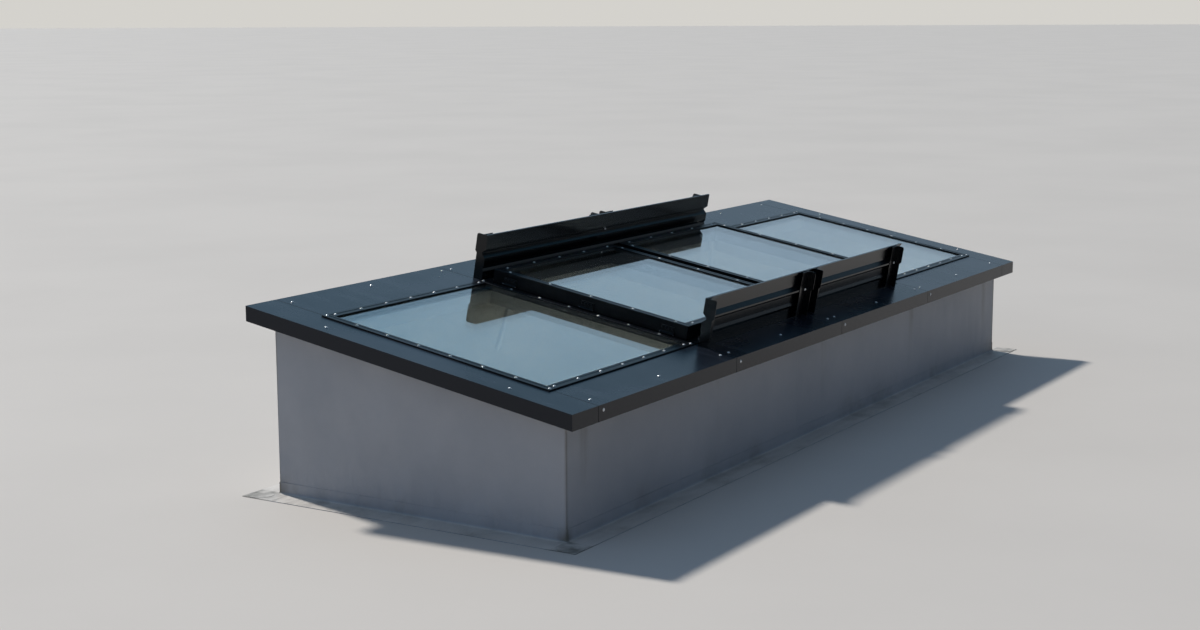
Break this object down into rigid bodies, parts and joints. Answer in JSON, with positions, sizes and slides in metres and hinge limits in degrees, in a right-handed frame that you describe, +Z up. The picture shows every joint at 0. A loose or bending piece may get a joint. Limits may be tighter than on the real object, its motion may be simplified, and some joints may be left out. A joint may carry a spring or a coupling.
{
  "type": "roof skylight",
  "caption": "Long monopitch roof skylight on an insulated kerb, with fixed panes at both ends and a pair of opposed smoke-vent flaps between wind deflectors.",
  "frame": {"origin": "middle of the kerb's foot, at the level of the roof", "axes": "+X along the kerb, +Y up the slope towards the high side, +Z up"},
  "size_m": [6.54, 2.21, 1.3166],
  "materials": {
    "bar": "satin dark grey coating",
    "bracket": "satin grey coating",
    "casement": "satin anthracite coating",
    "deflector": "black coating",
    "flashing": "gloss anthracite coating",
    "gasket": "matt",
    "glass": "clear",
    "gutter": "satin dark grey coating",
    "hinge": "satin anthracite coating",
    "housing": "natural anodised",
    "insulation": "foam board",
    "liner": "white coating",
    "membrane": "light grey, matt",
    "packer": "matt",
    "plate": "satin anthracite coating",
    "screw": "bright",
    "spacer": "matt",
    "spindle": "bright",
    "strap": "galvanised",
    "upstand": "satin dark grey coating"
  },
  "bodies": {
    "base": {"base_end_rails": "bar", "base_side_rails": "bar", "centre_gutter": "gutter", "centre_rafter": "bar", "deflector_brackets": "deflector", "deflector_high_left": "deflector", "deflector_high_right": "deflector", "deflector_low_left": "deflector", "deflector_low_right": "deflector", "deflector_screws": "screw", "drive_brackets": "bracket", "edge_packers": "packer", "fixed_gaskets": "gasket", "fixed_glass_left": "glass", "fixed_glass_right": "glass", "fixed_glass_spacers": "spacer", "fixed_inner_glass": "glass", "flashing_end_left": "flashing", "flashing_end_right": "flashing", "flashing_high": "flashing", "flashing_low": "flashing", "flashing_screws": "screw", "flashing_straps": "strap", "hinge_pins": "screw", "hinge_straps": "hinge", "kerb_end_walls": "liner", "kerb_insulation": "insulation", "kerb_membrane": "membrane", "kerb_side_walls": "liner", "membrane_skirt": "membrane", "plate_screws": "screw", "pressure_plates": "plate", "vent_rafters": "bar", "vent_seals": "gasket", "vent_upstands": "upstand"},
    "flap_left": {"flap_casement_left": "casement", "flap_gaskets_left": "gasket", "flap_glass_left": "glass", "flap_glass_spacer_left": "spacer", "flap_hinge_leaves_left": "hinge", "flap_inner_glass_left": "glass", "flap_plates_left": "plate", "flap_screws_left": "screw"},
    "flap_right": {"flap_casement_right": "casement", "flap_gaskets_right": "gasket", "flap_glass_right": "glass", "flap_glass_spacer_right": "spacer", "flap_hinge_leaves_right": "hinge", "flap_inner_glass_right": "glass", "flap_plates_right": "plate", "flap_screws_right": "screw"},
    "housing_low_left": {"drive_housing_low_left": "housing"},
    "spindle_low_left": {"drive_spindle_low_left": "spindle"},
    "housing_low_right": {"drive_housing_low_right": "housing"},
    "spindle_low_right": {"drive_spindle_low_right": "spindle"},
    "housing_high_left": {"drive_housing_high_left": "housing"},
    "spindle_high_left": {"drive_spindle_high_left": "spindle"},
    "housing_high_right": {"drive_housing_high_right": "housing"},
    "spindle_high_right": {"drive_spindle_high_right": "spindle"}
  },
  "joints": [
    {"name": "flap_left_hinge", "type": "hinge", "parent": "base", "child": "flap_left", "pos_m": [-1.456, -0.04188, 0.9053], "axis": [0, -0.9848, -0.1736], "range_deg": [0, 90]},
    {"name": "drive_low_left_swivel", "type": "hinge", "parent": "base", "child": "housing_low_left", "pos_m": [-1.30861, -0.64411, 0.73589], "axis": [0, -0.9848, -0.1736], "range_deg": [0, 45]},
    {"name": "drive_low_left_stroke", "type": "slide", "parent": "housing_low_left", "child": "spindle_low_left", "axis": [0.2402, -0.1686, 0.956], "range_m": [0, 0.217]},
    {"name": "drive_high_left_swivel", "type": "hinge", "parent": "base", "child": "housing_high_left", "pos_m": [-1.30861, 0.58198, 0.95208], "axis": [0, -0.9848, -0.1736], "range_deg": [0, 45]},
    {"name": "drive_high_left_stroke", "type": "slide", "parent": "housing_high_left", "child": "spindle_high_left", "axis": [0.2402, -0.1686, 0.956], "range_m": [0, 0.217]},
    {"name": "flap_right_hinge", "type": "hinge", "parent": "base", "child": "flap_right", "pos_m": [1.456, -0.04188, 0.9053], "axis": [0, 0.9848, 0.1736], "range_deg": [0, 90]},
    {"name": "drive_low_right_swivel", "type": "hinge", "parent": "base", "child": "housing_low_right", "pos_m": [1.30861, -0.64411, 0.73589], "axis": [0, 0.9848, 0.1736], "range_deg": [0, 45]},
    {"name": "drive_low_right_stroke", "type": "slide", "parent": "housing_low_right", "child": "spindle_low_right", "axis": [-0.2402, -0.1686, 0.956], "range_m": [0, 0.217]},
    {"name": "drive_high_right_swivel", "type": "hinge", "parent": "base", "child": "housing_high_right", "pos_m": [1.30861, 0.58198, 0.95208], "axis": [0, 0.9848, 0.1736], "range_deg": [0, 45]},
    {"name": "drive_high_right_stroke", "type": "slide", "parent": "housing_high_right", "child": "spindle_high_right", "axis": [-0.2402, -0.1686, 0.956], "range_m": [0, 0.217]}
  ],
  "couplings": [
    {"joint": "drive_low_left_swivel", "follows": "flap_left_hinge", "ratio": 0.5},
    {"joint": "drive_low_left_stroke", "follows": "flap_left_hinge", "m_per_rad": 0.13815},
    {"joint": "drive_high_left_swivel", "follows": "flap_left_hinge", "ratio": 0.5},
    {"joint": "drive_high_left_stroke", "follows": "flap_left_hinge", "m_per_rad": 0.13815},
    {"joint": "drive_low_right_swivel", "follows": "flap_right_hinge", "ratio": 0.5},
    {"joint": "drive_low_right_stroke", "follows": "flap_right_hinge", "m_per_rad": 0.13815},
    {"joint": "drive_high_right_swivel", "follows": "flap_right_hinge", "ratio": 0.5},
    {"joint": "drive_high_right_stroke", "follows": "flap_right_hinge", "m_per_rad": 0.13815}
  ]
}
